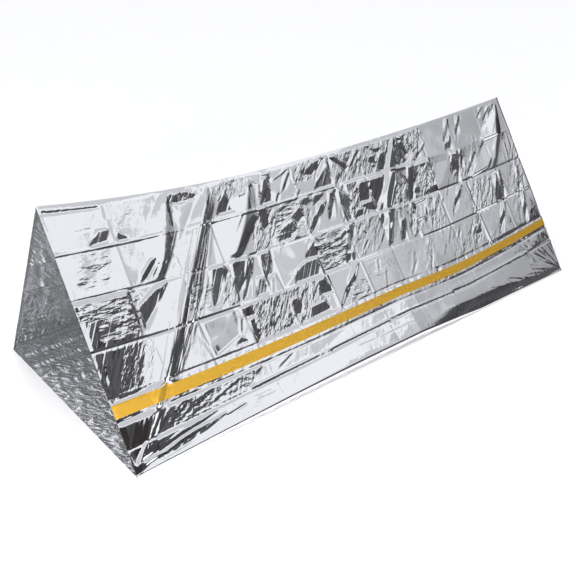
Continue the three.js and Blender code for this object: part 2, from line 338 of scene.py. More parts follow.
# Short pointed pleats: where each starts and ends, along the tunnel and down the film, and the width of
# its flank, which looks down or towards the far end, or the other way if the width is negative.
PLEATS = [
    # along, down, along, down, width
    (-738, 65, -752, 148, 14),
    (-852, 232, -948, 320, 22),
    (-848, 248, -898, 312, 11),
    (-985, 2, -990, 78, 10),
    (-322, 38, -352, 118, 10),
    (-165, 12, -272, 55, 9),
    (-160, 15, -242, 118, 16),
    (70, 12, 124, 94, 18),
    (215, 18, 136, 94, 16),
    (262, 8, 300, 42, 18),
    (372, 52, 336, 150, 12),
    (398, 38, 364, 148, 11),
    (-300, 168, -360, 275, 13),
    (26, 158, -6, 295, 10),
    (352, 282, 374, 324, 15),
    (-432, 338, -446, 488, 12),
    (-388, 348, -382, 503, 14),
    (-155, 412, -78, 404, 11),
    (-88, 388, -2, 376, 11),
    (-128, 440, -38, 442, 12),
    (-168, 482, -92, 454, 12),
    (-112, 498, -38, 476, 12),
    (104, 343, 46, 408, 11),
    (112, 428, 48, 482, 11),
    (314, 346, 298, 394, 12),
    (348, 398, 325, 497, 10),
    (378, 358, 403, 448, 9),
    (-398, 518, -378, 562, 14),
    (-374, 560, -390, 655, 14),
    (-298, 538, -368, 635, 18),
    (146, 542, 180, 602, 8),
    (400, 10, 360, 135, 14),
    (456, 14, 424, 154, 38),
    (462, 58, 492, 112, 13),
    (612, 16, 604, 115, 12),
    (846, 76, 800, 154, 9),
    (402, 176, 394, 258, 11),
    (428, 188, 443, 258, 11),
    (932, 188, 798, 314, 18),
    (1172, 166, 1165, 265, 12),
    (1138, 198, 1122, 315, 14),
    (720, 343, 618, 485, 11),
    (502, 357, 466, 455, 14),
    (778, 347, 799, 445, 10),
    (947, 345, 906, 435, 14),
    (640, 528, 606, 575, 11),
    (-1105, 836, -1028, 760, 10),
    (-1188, 906, -862, 872, 15),
    (-1150, 888, -905, 850, 14),
    (-940, 762, -1004, 802, 24),
    (-828, 764, -928, 802, 15),
    (-868, 810, -992, 833, 10),
    (-690, 770, -905, 830, 10),
    (-452, 767, -578, 814, 11),
    (-842, 883, -706, 871, 8),
    (-712, 871, -598, 878, 6),
    (-205, 864, -60, 870, 6),
    (-65, 870, 165, 868, 6),
    (1000, 768, 1042, 854, 9),
    (1038, 783, 1118, 855, 9),
    (1116, 776, 1144, 858, 9),
    (1150, 718, 1182, 852, 9),
    (1054, 713, 1077, 758, 9),
    (1013, 710, 1037, 764, 10),
    (768, 838, 908, 884, 10),
    (638, 848, 694, 864, 10),
    (488, 760, 508, 785, 10),
    (212, 20, 216, 135, 14),
    (-122, 5, -118, 55, 10),
    (-168, 40, -162, 140, 12),
    (-605, 445, -692, 500, 10),
    (-432, 400, -445, 495, 14),
    (-612, 555, -640, 625, 12),
    (590, 365, 585, 490, 8),
    (-1020, 84, -1165, 94, 6),
    (-790, 505, -790, 590, 9),
    (-790, 590, -774, 680, 9),
    (-1165, 520, -1194, 685, -18),
    (35, 8, -62, 112, -28),
]

# Where the long fold crosses the tape: along, down, along, down.
TAPE_TUCK = (-984, 664, -1052, 756)
TUCK_WIDTH = 40
TUCK_SLOPE = 0.85
TUCK_FADE = 20
PUCKER_PLACE = 6
PUCKER_REACH = 14
PUCKER_LEAN = 0.3
PUCKER_FACETS = [(2.2, 22, 40)]

# Fans of fine pleats: where they spring from, the directions they spread between (degrees from straight
# down, positive towards the far end), how long they are and how many there are.
FANS = [
    # along, down, from_angle, to_angle, length, pleats
    (-745, 5, -30, 30, 90, 5),
    (-548, 5, -50, 20, 120, 5),
    (-365, 5, -40, 45, 140, 8),
    (-165, 5, -65, 25, 130, 6),
    (42, 5, -50, 60, 130, 9),
    (32, 152, -40, 40, 170, 8),
    (45, 332, -60, 45, 160, 8),
    (215, 5, -60, 20, 130, 6),
    (355, 160, -50, 25, 170, 8),
    (435, 5, -45, 40, 140, 9),
    (605, 5, -55, 20, 120, 5),
    (795, 160, -40, 25, 170, 6),
    (1010, 330, -45, 30, 170, 6),
    (-170, 330, -60, 40, 140, 5),
    (-560, 325, -35, 35, 170, 6),
    (-980, 330, -70, 40, 130, 7),
    (-1195, 912, 98, 140, 560, 12),
    (1195, 918, -150, -98, 420, 9),
]
FAN_PLACES = (0.1, 0.9)
FAN_REACHES = (0.45, 1.1)
FAN_WIDTHS = (6, 11)
FAN_SLOPES = (0.1, 0.2)

# Fine pleats that lean with the folds, scattered over a wall and crowded towards the ridge.
FINE_PLEATS = 80
FINE_FROM = -430
FINE_END_GAP = 60
FINE_TOP = 10
FINE_DEPTH = 620
FINE_CROWDING = 1.4
FINE_LENGTHS = (60, 170)
FINE_LEANS = (0.2, 1.0)
FINE_WIDTHS = (6, 13)

# Low waves all over the film, and how steep each is.
WAVES = 14
WAVE_SLOPE = 0.0035
WAVE_LENGTHS = (60, 170)

# Crumpled patches with wrinkles that lean with the folds, or lie level: centre, half sizes and strength.
LEANING_CRUMPLES = [
    # along, down, half_along, half_down, strength
    (-1060, 590, 60, 85, 0.45),
    (-680, 22, 50, 26, 0.9),
    (-455, 38, 65, 38, 0.8),
    (-610, 440, 45, 55, 0.6),
    (-480, 600, 95, 82, 0.75),
    (-370, 240, 55, 75, 0.6),
    (-85, 45, 55, 40, 0.8),
    (130, 75, 75, 68, 0.4),
    (150, 245, 60, 78, 0.8),
    (-130, 250, 40, 70, 0.35),
    (110, 420, 75, 75, 0.28),
    (-310, 600, 110, 78, 0.7),
    (280, 80, 55, 62, 0.8),
    (375, 290, 40, 50, 0.9),
    (400, 90, 45, 70, 0.7),
    (540, 60, 55, 52, 1.5),
    (545, 255, 60, 72, 1.4),
    (540, 420, 60, 72, 0.5),
    (410, 410, 40, 75, 0.8),
    (740, 570, 45, 55, 0.8),
    (690, 620, 40, 50, 0.4),
    (860, 420, 75, 75, 0.7),
    (860, 275, 60, 38, 0.5),
    (770, 240, 45, 75, 0.4),
    (1145, 380, 45, 180, 0.6),
    (405, 590, 30, 70, 0.4),
    (600, 600, 35, 70, 0.35),
    (820, 630, 40, 30, 0.5),
    (1090, 800, 100, 80, 0.1),
]
LEVEL_CRUMPLES = [
    # along, down, half_along, half_down, strength
    (-1085, 230, 60, 65, 0.24),
    (-915, 60, 35, 34, 0.2),
    (-1085, 365, 105, 38, 0.9),
    (-1060, 430, 80, 50, 0.4),
    (-740, 430, 50, 55, 0.25),
    (-240, 235, 65, 75, 0.6),
    (-90, 420, 75, 80, 0.8),
    (-50, 640, 60, 38, 0.7),
    (90, 580, 65, 55, 0.2),
    (-850, 795, 190, 32, 0.4),
    (750, 900, 420, 24, 0.12),
]
# On the back wall only, beside the near end.
BACK_CRUMPLES = [(1105, 400, 50, 330, 1.1)]
# How crumpled the rest is, and the shape of a patch: a leaning box with round corners that fades out.
CALM = 0.04
PATCH_LEAN = 0.4
PATCH_SQUARENESS = 4
PATCH_REACH = 1.12
PATCH_FADE = 5
# The wrinkles in the patches.
LEANING_FACETS = [
    # height, along, down
    (4.0, 30, 70),
    (1.6, 15, 30),
]
LEVEL_FACETS = [
    (3.0, 60, 24),
    (1.2, 30, 13),
]
# The finest wrinkles and the streaks, in metres, each from two fields of sites, one of them shifted.
LEANING_SHARDS = [
    # along, down, height
    (0.015, 0.036, 0.0017),
    (0.007, 0.016, 0.0006),
]
LEVEL_SHARDS = [
    (0.036, 0.012, 0.0013),
    (0.016, 0.006, 0.0005),
]
STREAK_SHARDS = (0.018, 0.3, 0.0013)
SHARD_SHIFTS = ((0, 0, 0), (7.3, 3.1, 0))

SILVER = (0.865, 0.868, 0.873, 1)
TAPE_STREAKS = (25, 260, 1)
DARK_YELLOW = (0.303, 0.175, 0.018, 1)
LIGHT_YELLOW = (0.352, 0.206, 0.023, 1)
FLOOR_GREYS = ((0.89, 0.89, 0.89, 1), (0.91, 0.91, 0.91, 1))
DARK_ROOM = (0.04, 0.034, 0.033, 1)
PALE_ROOM = (0.95, 0.95, 0.95, 1)
# The studio's light is a little cool.
COOL_WHITE = (0.972, 0.985, 1.04, 1)
# Curved reflectors stand far around the tent, all but the first twice, the second turned about. Azimuth 0
# is in front of the taped wall, 90 past the far end.
REFLECTOR_DISTANCE = 60
REFLECTOR_STEP = 4
REFLECTORS = [
    # azimuths, elevations, radiance
    ((0, 360), (46, 89.9), 0.68),
    ((-60, 39.2), (29, 46), 0.97),
    ((-60, 35), (28, 29), 0.7),
    ((35, 39.2), (25.3, 29), 0.6),
    ((39.2, 54), (36.5, 46), 1.0),
    ((39.2, 54), (34.5, 36.5), 0.68),
    ((39.2, 52), (29, 34.5), 0.66),
    ((39.2, 52), (25, 29), 0.6),
    ((52, 54), (29, 34.5), 0.58),
    ((52, 54), (22.5, 29), 0.5),
    ((54, 64), (38, 46), 0.95),
    ((54, 64), (33, 38), 0.55),
    ((64, 120), (33, 46), 0.6),
    ((54, 120), (29, 33), 0.49),
    ((54, 120), (24, 29), 0.45),
    ((55, 64), (17.5, 24), 0.42),
    ((56, 64), (12, 17.5), 0.34),
    ((20, 52), (8, 14), 0.065),
    ((20, 52), (14, 19), 0.08),
    ((20, 42), (19, 25.3), 0.11),
    ((42, 52), (19, 20.2), 0.13),
    ((42, 52), (20.2, 21.3), 0.2),
    ((42, 52), (21.3, 22.5), 0.3),
    ((42, 52), (22.5, 25), 0.45),
    ((20, 44), (0.3, 8), 0.06),
    ((44, 52), (0.3, 8), 0.09),
    ((52, 120), (0.3, 12), 0.1),
]


def unit(values):
    """Values held between 0 and 1."""
    return np.clip(values, 0, 1)


def along_length(near, middle, far, x):
    """A value that runs smoothly from the near end through the middle to the far end."""
    u = x / HALF_LENGTH
    return middle + (far - near) / 2 * u + ((far + near) / 2 - middle) * u * u


def ridge_sag(x):
    span = np.where(x < SAG_PLACE, HALF_LENGTH + SAG_PLACE, HALF_LENGTH - SAG_PLACE)
    return SAG_DEPTH * (1 - ((x - SAG_PLACE) / span) ** 2)


def foot_radius(x, side):
    radius = FOOT_RADIUS_END + (FOOT_RADIUS_MIDDLE - FOOT_RADIUS_END) * (1 - (x / HALF_LENGTH) ** 2)
    if side > 0:
        return radius
    rolled = np.interp(x, ROLLED_FOOT_ALONG, [1, ROLLED_FOOT])
    return np.maximum(FOOT_RADIUS_END, radius * rolled)


def nearest_site_squared(p, q, rng):
    """The squared distance to the nearest of a field of scattered sites, one in each unit square."""
    low_p, low_q = math.floor(p.min()) - 1, math.floor(q.min()) - 1
    shape = (math.ceil(q.max()) - low_q + 3, math.ceil(p.max()) - low_p + 3)
    shift_p, shift_q = rng.random(shape), rng.random(shape)
    column = np.floor(p).astype(int) - low_p
    row = np.floor(q).astype(int) - low_q
    best = np.full(p.shape, np.inf)
    for dq in (-1, 0, 1):
        for dp in (-1, 0, 1):
            c, r = column + dp, row + dq
            gap_p = c + low_p + shift_p[r, c] - p
            gap_q = r + low_q + shift_q[r, c] - q
            best = np.minimum(best, gap_p ** 2 + gap_q ** 2)
    return best


def facets(layers, p, q, rng):
    """Layers of flat facets with straight ridges and valleys, each of a height and two sizes."""
    relief = 0
    for height, wide, deep in layers:
        first = nearest_site_squared(p / wide, q / deep, rng)
        relief = relief + height * (first - nearest_site_squared(p / wide, q / deep, rng))
    return relief


def pleat(x, down, start, end, width, slope):
    """A straight pleat, pointed at both ends: a flat flank between two short returns."""
    run = np.subtract(end, start)
    length = np.hypot(*run)
    run = run / length
    lower_side = np.array([run[1], -run[0]]) * (1 if run[0] <= 0 else -1)
    share = ((x - start[0]) * run[0] + (down - start[1]) * run[1]) / length
    aside = (x - start[0]) * lower_side[0] + (down - start[1]) * lower_side[1]
    pointed = unit(np.minimum(share * PLEAT_OPENS, (1 - share) * PLEAT_CLOSES))
    half = np.maximum(width / 2 * pointed, LEAST_FLANK)
    back = np.maximum(PLEAT_RETURN * width, LEAST_RETURN) * pointed + LEAST_FLANK
    height = slope * width / 2 * pointed
    outer = unit(1 - (np.abs(aside) - half) / back)
    return -height * np.clip(aside / half, -1, 1) * outer


def pleat_relief(pleats, x, down):
    relief = np.zeros(x.shape)
    for along, start_down, end_along, end_down, width in pleats:
        slope = np.interp(along, *zip(*PLEAT_SLOPES)) * np.sign(width)
        relief += pleat(x, down, (along, start_down), (end_along, end_down), abs(width), slope)
    return relief


def scattered_pleats(side):
    rng = np.random.default_rng(SEED + 2 + (side > 0))
    pleats = []
    for _ in range(FINE_PLEATS):
        along = rng.uniform(FINE_FROM, HALF_LENGTH - FINE_END_GAP)
        down = FINE_TOP + FINE_DEPTH * rng.random() ** FINE_CROWDING
        length = rng.uniform(*FINE_LENGTHS)
        lean = rng.uniform(*FINE_LEANS)
        end = (along - lean * length / np.hypot(1, lean), down + length / np.hypot(1, lean))
        pleats.append((along, down, *end, rng.uniform(*FINE_WIDTHS)))
    return pleats


def fan_relief(fans, x, down, rng):
    relief = np.zeros(x.shape)
    for along, start_down, from_angle, to_angle, length, pleats in fans:
        for place in range(pleats):
            share = (place + rng.uniform(*FAN_PLACES)) / pleats
            angle = math.radians(from_angle + (to_angle - from_angle) * share)
            reach = length * rng.uniform(*FAN_REACHES)
            end = (along + reach * math.sin(angle), start_down + reach * math.cos(angle))
            width = rng.uniform(*FAN_WIDTHS)
            relief += pleat(x, down, (along, start_down), end, width, rng.uniform(*FAN_SLOPES))
    return relief


def fold_relief(folds, x, down, rng):
    """How far the pull folds raise the film: a ridge with two flanks and fine pleats along its far flank.
    Also how streaked the film is along them, and how smooth beside the folds without pleats."""
    relief, streaked, smooth = np.zeros((3, *x.shape))
    for fold in folds:
        points, (near_flank, far_flank, rise, pleats) = fold[:6], fold[6:]
        curve = np.polyfit(points[1::2], points[0::2], 2)
        first, last = points[1], points[5]
        share = (down - first) / (last - first)
        lean = np.polyval(np.polyder(curve), down)
        aside = (x - np.polyval(curve, down)) / np.hypot(1, lean)
        widening = FOLD_NARROW + np.minimum(FOLD_WIDENS * share, FOLD_NARROWS * (1 - share))
        spread = np.clip(widening, FOLD_NARROW, 1)
        taper = unit(share * FOLD_OPENS) * unit((1 - share) * FOLD_CLOSES)
        far = far_flank * spread
        flank = np.where(aside < 0, near_flank * spread, far)
        relief += rise * taper * unit(1 - np.abs(aside) / flank)
        for _ in range(pleats):
            middle = rng.uniform(*FOLD_PLEAT_PLACES) * far
            half = rng.uniform(*FOLD_PLEAT_FLANKS)
            height = rng.uniform(*FOLD_PLEAT_HEIGHTS) * rng.choice([-1, 1])
            relief += height * taper * unit(1 - np.abs(aside - middle) / half)
        within_ends = unit(taper * MARK_RISE)
        beside = np.abs(aside / far - STREAK_MIDDLE)
        streaky = pleats / FULLY_STREAKED * unit((1 - share) * MARK_RISE) * within_ends
        streaked = np.maximum(streaked, streaky * unit((STREAK_REACH - beside) * STREAK_FADE))
        if pleats == 0:
            within = np.minimum(aside + SLEEK_NEAR, far - aside) / SLEEK_FADE
            smooth = np.maximum(smooth, SLEEK * unit(within) * within_ends)
    return relief, streaked, smooth


def pane_relief(panes, x, down):
    """Flat panes that tilt about their middle and step back along their edges.
    Also how smooth they keep the film, and how streaked it is where a pane looks down."""
    relief, smooth, streaked = np.zeros((3, *x.shape))
    for out_down, calm, *corners in panes:
        corners = np.array(corners, float)
        middle = (corners[:, 1].min() + corners[:, 1].max()) / 2
        plane = (down - middle) * out_down / 100
        inside = np.full(x.shape, np.inf)
        for first, second in zip(corners, np.roll(corners, -1, 0)):
            run = (second - first) / np.hypot(*(second - first))
            inside = np.minimum(inside, (down - first[1]) * run[0] - (x - first[0]) * run[1])
        room = PANE_STEEP * np.clip(inside + PANE_EDGE, 0, None)
        relief += np.clip(plane, -room, room)
        smooth = np.maximum(smooth, calm * unit(inside / PANE_CALM_EDGE + 1))
        if out_down < STREAKED_BELOW:
            streaky = unit((inside / PANE_STREAK_EDGE + 1) / 2)
            streaked = np.maximum(streaked, PANE_STREAKS * streaky)
    return relief, smooth, streaked


def wave_relief(x, down, rng):
    """Soft low waves in every direction, so that no pane is quite flat."""
    relief = np.zeros(x.shape)
    for _ in range(WAVES):
        angle, phase = rng.uniform(0, 2 * np.pi, 2)
        turn = 2 * np.pi / rng.uniform(*WAVE_LENGTHS)
        relief += WAVE_SLOPE / turn * np.sin(turn * (x * np.cos(angle) + down * np.sin(angle)) + phase)
    return relief


def crumple_strength(crumples, x, down):
    strength = np.full(x.shape, CALM)
    for along, middle, half_along, half_down, strong in crumples:
        below = down - middle
        aside = np.abs((x - along + PATCH_LEAN * below) / half_along) ** PATCH_SQUARENESS
        away = (aside + np.abs(below / half_down) ** PATCH_SQUARENESS) ** (1 / PATCH_SQUARENESS)
        strength = np.maximum(strength, strong * unit((PATCH_REACH - away) * PATCH_FADE))
    return strength


def softened(field):
    """A field smoothed over its nearest points, so that slanting creases run evenly between them."""
    for axis in (0, 1):
        padded = np.pad(field, [(1, 1) if a == axis else (0, 0) for a in (0, 1)], "edge")
        field = (np.take(padded, range(0, field.shape[axis]), axis) + 2 * field
                 + np.take(padded, range(2, field.shape[axis] + 2), axis)) / 4
    return field


class Wall:
    """One wall as a grid of points: rows run from the ridge to the foot, columns along the tunnel."""

    def __init__(self, side, lines, pitch, seed):
        self.side, self.lines, self.rng = side, lines, np.random.default_rng(seed)
        self.row_pitch = pitch[1]
        self.x = np.linspace(-HALF_LENGTH, HALF_LENGTH, round(2 * HALF_LENGTH / pitch[0]) + 1)
        along = -side * self.x
        edges = np.array([0 * along] + [along_length(*line[1:4], along) for line in lines])
        self.edges = edges * SLANT
        band, step = self.row_places()
        self.band, self.step = band, step[:, None]
        self.share = edges[band] + (edges[band + 1] - edges[band]) * self.step
        self.along = np.broadcast_to(along, self.share.shape)
        self.down = self.share * SLANT
        self.place()

    def row_places(self):
        """The band that each row of points lies in and its share of the way across it."""
        band, step = [0], [0.0]
        for place in range(len(self.lines)):
            wide = np.mean(self.edges[place + 1] - self.edges[place])
            near = BESIDE_CREASE / wide
            inner = max(1, round((wide - 2 * BESIDE_CREASE) / self.row_pitch))
            steps = [near + (1 - 2 * near) * i / inner for i in range(inner + 1)] + [1.0]
            band += [place] * len(steps)
            step += steps
        return np.array(band), np.array(step)

    def line_row(self, name):
        """The row of points that lies on a named line."""
        place = [line[0] for line in self.lines].index(name)
        return np.flatnonzero((self.band == place) & (self.step[:, 0] == 1.0))[0]

    def place(self):
        """Sets the points: the ridge, the wall below it and the bend at the foot."""
        side, x = self.side, self.x
        sag = ridge_sag(x)
        radius = foot_radius(x, side)
        shoulder = np.stack([side * RIDGE_HALF_WIDTH + 0 * x, RIDGE_HEIGHT - sag - RIDGE_ROUND_DROP])
        centre = np.stack([side * (HALF_BASE - radius), radius])
        across, up = shoulder - centre
        angle = np.arctan2(up, across) - side * np.arccos(radius / np.hypot(across, up))
        outward = np.stack([np.cos(angle), np.sin(angle)])
        foot = centre + radius * outward
        hang = HANG_DEPTH * sag / SAG_DEPTH * np.sin(np.pi * self.share)
        out = self.relief() - hang
        y = shoulder[0] + (foot[0] - shoulder[0]) * self.share + out * outward[0]
        z = shoulder[1] + (foot[1] - shoulder[1]) * self.share + out * outward[1]
        turn = side * (np.pi / 2 - angle) % (2 * np.pi)
        steps = np.arange(1, FOOT_ROWS + 1)[:, None] / FOOT_ROWS
        bend = angle - side * (np.pi - turn) * steps
        self.y = np.vstack([0 * x, y, centre[0] + radius * np.cos(bend)])
        self.z = np.vstack([RIDGE_HEIGHT - sag, z, centre[1] + radius * np.sin(bend)])

    def relief(self):
        """How far the film stands out of the plain hanging wall."""
        along, down, rng = self.along, self.down, self.rng
        folds, streaked, sleek = fold_relief(FOLDS, along, down, rng)
        panes, smooth, pane_streaks = pane_relief(PANES, along, down)
        smooth = np.maximum(smooth, sleek)
        pleats = pleat_relief(PLEATS + scattered_pleats(self.side), along, down)
        fans = fan_relief(FANS, along, down, rng)
        leaning, level = self.crumple()
        rough = pleats + fans + leaning + level
        panes = panes + wave_relief(along, down, np.random.default_rng(SEED + 5))
        taped = unit(1 - self.beside_tape() / TAPE_EASE)
        rest = panes + (1 - smooth) * rough + self.cell_relief()
        loose = (1 - TAPE_HOLDS_FOLDS * taped) * folds + (1 - TAPE_HOLDS_REST * taped) * rest
        self.lean_strength = self.lean_strength * (1 - smooth)
        self.level_strength = self.level_strength * (1 - smooth)
        self.streaked = np.maximum(streaked * (1 - smooth), pane_streaks)
        edge = unit(down / RIDGE_FADE) * unit((SLANT - down) / FOOT_FADE)
        ends = np.clip((HALF_LENGTH - np.abs(along)) / END_FADE, END_FREE, 1)
        free = softened(edge * ends * (loose + self.puckers()))
        creased = edge * (self.line_relief() + self.cross_relief())
        return free + creased - self.flare() + self.roll() - self.curl()

    def curl(self):
        """The cut edges at both ends curl in a little."""
        return CURL_SLOPE * np.clip(CURL_REACH - (HALF_LENGTH - np.abs(self.along)), 0, None)

    def roll(self):
        """Along the farther half of the front's foot the film rolls under before it meets the ground."""
        if self.side > 0:
            return 0
        crest = np.interp(self.along[0], *zip(*ROLL_CREST))
        rising = (SLANT - crest) * unit((self.down - ROLL_TOP) / (crest - ROLL_TOP))
        falling = SLANT - self.down
        lower = -ROLL_ROUNDNESS * np.logaddexp(-rising / ROLL_ROUNDNESS, -falling / ROLL_ROUNDNESS)
        return ROLL_SLOPE * np.interp(self.along, ROLL_ALONG, [0, 1]) * lower

    def flare(self):
        """The slack film hangs in low on the wall and leans out again towards the foot."""
        grown = unit((self.along + HALF_LENGTH) / FLARE_GROWTH)
        kept = np.interp(self.along, [FLARE_FULL_TO, FLARE_GONE_AT], [1, 0])
        wide = np.where(self.share < FLARE_PLACE, FLARE_ABOVE, FLARE_BELOW)
        return FLARE_DEPTH * grown * kept * np.exp(-((self.share - FLARE_PLACE) / wide) ** 2)

    def cell_relief(self):
        """Panes between the pack creases, each bent a little along the lean of the folds."""
        edges = np.array([-HALF_LENGTH] + CROSS_CREASES + [HALF_LENGTH])
        heights = self.rng.uniform(-CELL_HEIGHT, CELL_HEIGHT, (len(self.lines) + 1, len(edges)))
        column = np.clip(np.searchsorted(edges, self.along, "right") - 1, 0, len(edges) - 2)
        share = (self.along - edges[column]) / (edges[column + 1] - edges[column])
        band, step = self.band[:, None], self.step
        upper_near, upper_far = heights[band, column], heights[band, column + 1]
        lower_near, lower_far = heights[band + 1, column], heights[band + 1, column + 1]
        upper = upper_near + (upper_far - upper_near) * share + (lower_near - upper_near) * step
        lower = lower_far + (lower_near - lower_far) * (1 - share) + (upper_far - lower_far) * (1 - step)
        return np.where(share + step < 1, upper, lower)

    def crumple(self):
        """Sharp wrinkles that lean with the folds in some patches and lie level in others."""
        along, down, rng = self.along, self.down, self.rng
        leaning_patches = LEANING_CRUMPLES + (BACK_CRUMPLES if self.side > 0 else [])
        self.lean_strength = crumple_strength(leaning_patches, along, down)
        self.level_strength = crumple_strength(LEVEL_CRUMPLES, along, down)
        leaning = facets(LEANING_FACETS, along + LEAN * down, down, rng)
        level = facets(LEVEL_FACETS, along, down, rng)
        return leaning * self.lean_strength, level * self.level_strength

    def beside_tape(self):
        """How far outside the tape's edges a point lies, less than 0 under it. The back has no tape."""
        if self.side > 0:
            return np.inf
        names = [line[0] for line in self.lines]
        top = self.edges[names.index("tape_top") + 1]
        bottom = self.edges[names.index("tape_bottom") + 1]
        return np.maximum(top - self.down, self.down - bottom)

    def puckers(self):
        """Small puckers where the tape gathers the film, and the tuck where the long fold crosses it."""
        if self.side > 0:
            return 0
        outside = self.beside_tape()
        gathered = unit(1 - np.abs(outside - PUCKER_PLACE) / PUCKER_REACH)
        small = facets(PUCKER_FACETS, self.along + PUCKER_LEAN * self.down, self.down, self.rng)
        tuck = pleat(self.along, self.down, TAPE_TUCK[:2], TAPE_TUCK[2:], TUCK_WIDTH, TUCK_SLOPE)
        return gathered * small + tuck * unit(1 - outside / TUCK_FADE)

    def line_relief(self):
        """The film between the lines, and the sharp crease along each of them."""
        outs = np.array([0.0] + [line[4] for line in self.lines])
        creases = [0.0] + [line[5] for line in self.lines]
        relief = outs[self.band][:, None] * (1 - self.step) + outs[self.band + 1][:, None] * self.step
        eased = np.interp(self.along[0], EASED_ALONG, [1, EASED_FLANK])
        for place, crease in enumerate(creases):
            below = self.down - self.edges[place]
            swells = self.rng.uniform(*CREASE_SWELLS, len(SWELL_PLACES))
            height = crease * np.interp(self.along[0], SWELL_PLACES, swells)
            wider = (below * crease > 0) & (place == EASED_CREASE)
            flank = CREASE_FLANK * np.where(wider, eased, 1)
            relief = relief + height * unit(1 - np.abs(below) / flank)
        return relief

    def cross_relief(self):
        """The sharp creases across the film."""
        relief = np.zeros(self.along.shape)
        bands = len(self.lines) + 1
        for middle in CROSS_CREASES:
            heights = self.rng.uniform(*CROSS_HEIGHTS, bands) * self.rng.choice([-1, 1], bands)
            heights[-LOW_BANDS:] *= LOW_CROSS
            crease = unit(1 - np.abs(self.along - middle) / CROSS_FLANK)
            relief = relief + heights[self.band][:, None] * crease
        return relief


def mark_film(piece, along, down, marks):
    """Keeps the film's flat measure, also slanted along the folds, and its strengths of fine wrinkles."""
    mesh = piece.data
    corner_points = np.zeros(len(mesh.loops), int)
    mesh.loops.foreach_get("vertex_index", corner_points)
    for name, lean in (("flat", LEAN), ("upright", 0)):
        places = np.stack([along + lean * down, down], -1).reshape(-1, 2) * MM
        layer = mesh.uv_layers.new(name=name)
        layer.data.foreach_set("uv", places[corner_points].ravel().astype(np.float32))
    for name, values in marks.items():
        layer = mesh.attributes.new(name, "FLOAT", "POINT")
        layer.data.foreach_set("value", values.ravel().astype(np.float32))


def add_object(name, thing):
    made = bpy.data.objects.new(name, thing)
    bpy.context.scene.collection.objects.link(made)
    return made


def grid_object(name, points, flip=False):
    """A mesh from a grid of points in metres."""
    rows, columns = points.shape[:2]
    r, c = np.meshgrid(np.arange(rows - 1), np.arange(columns - 1), indexing="ij")
    first = r * columns + c
    corners = [first, first + columns, first + columns + 1, first + 1]
    quads = np.stack(corners[::-1] if flip else corners, -1).reshape(-1, 4)
    mesh = bpy.data.meshes.new(name)
    mesh.from_pydata(points.reshape(-1, 3), [], quads.tolist())
    return add_object(name, mesh)


def new_sheet(name, x, y, z, flip):
    """A sheet from a grid of points, its faces turned out."""
    piece = grid_object(name, np.stack([np.broadcast_to(x, y.shape), y, z], -1) * MM, flip)
    piece.data.polygons.foreach_set("use_smooth", np.ones(len(piece.data.polygons), bool))
    piece.data.update()
    return piece


def wall_sheet(name, wall, first, last, flip):
    """The rows of a wall from one to another as a sheet, with its marks."""
    rows = slice(first, last + 1)
    piece = new_sheet(name, wall.x, wall.y[rows], wall.z[rows], flip)
    beside = [(1, FOOT_ROWS), (0, 0)]
    down = np.pad(wall.down, beside, "edge")[rows]
    strengths = {"lean": wall.lean_strength, "level": wall.level_strength, "streak": wall.streaked}
    marks = {mark: np.pad(strength, beside, "edge")[rows] for mark, strength in strengths.items()}
    mark_film(piece, np.broadcast_to(wall.along[0], down.shape), down, marks)
    return piece


def build_floor_panel(front, back):
    """The film under the tent, with the pack creases along it."""
    across = np.arange(FLOOR_ROWS + 1)[:, None] / FLOOR_ROWS
    x = back.x
    front_edge = np.interp(x, front.x, front.y[-1])
    y = front_edge + (back.y[-1] - front_edge) * across
    rng = np.random.default_rng(SEED + 2)
    wide = np.broadcast_to(x, y.shape)
    crumple = np.clip(facets(FLOOR_FACETS, wide, y, rng), 0, FLOOR_CRUMPLE_HEIGHT)
    wander = facets(FLOOR_WANDER, wide, y, rng)
    beside = np.abs(((y + wander) / FLOOR_CREASE_PITCH) % 1 - 0.5) * FLOOR_CREASE_PITCH
    creases = FLOOR_CREASE_HEIGHT * unit(1 - beside / FLOOR_CREASE_FLANK)
    edge = unit(np.minimum(across, 1 - across) * FLOOR_EDGE_RISE)
    ends = np.clip((HALF_LENGTH - np.abs(wide)) / FLOOR_END_FADE, FLOOR_END_FREE, 1)
    raised = (softened(crumple) + creases) * edge * ends
    panel = new_sheet("film_floor", x, y, raised, False)
    marks = {mark: np.full(y.shape, strength) for mark, strength in FLOOR_MARKS.items()}
    mark_film(panel, wide, y, marks)
    return panel


def build_tape(front):
    """The tape lies on the film's own rows of points between its two edges."""
    rows = slice(front.line_row("tape_top") + 1, front.line_row("tape_bottom") + 2)
    points = np.stack([np.broadcast_to(front.x, front.y.shape), front.y, front.z], -1)
    outward = np.cross(np.gradient(points, axis=0), np.gradient(points, axis=1))
    outward /= np.linalg.norm(outward, axis=-1, keepdims=True)
    lifted = (points + TAPE_LIFT * outward)[rows]
    strip = new_sheet("tape_strip", lifted[..., 0], lifted[..., 1], lifted[..., 2], False)
    down = np.pad(front.down, [(1, FOOT_ROWS), (0, 0)], "edge")[rows]
    mark_film(strip, np.broadcast_to(front.x, down.shape), down, {})
    return strip


def new_material(name):
    """A material with its nodes, its links and its shader."""
    material = bpy.data.materials.new(name)
    material.use_nodes = True
    tree = material.node_tree
    return material, tree.nodes, tree.links, tree.nodes["Principled BSDF"]


def add_node(nodes, kind, sockets=None, **settings):
    made = nodes.new(kind)
    for key, value in settings.items():
        setattr(made, key, value)
    for socket, value in (sockets or {}).items():
        made.inputs[socket].default_value = value
    return made


def two_tones(nodes, tones, places):
    """A ramp from one colour to another."""
    ramp = nodes.new("ShaderNodeValToRGB")
    for element, tone, place in zip(ramp.color_ramp.elements, tones, places):
        element.position = place
        element.color = tone
    return ramp


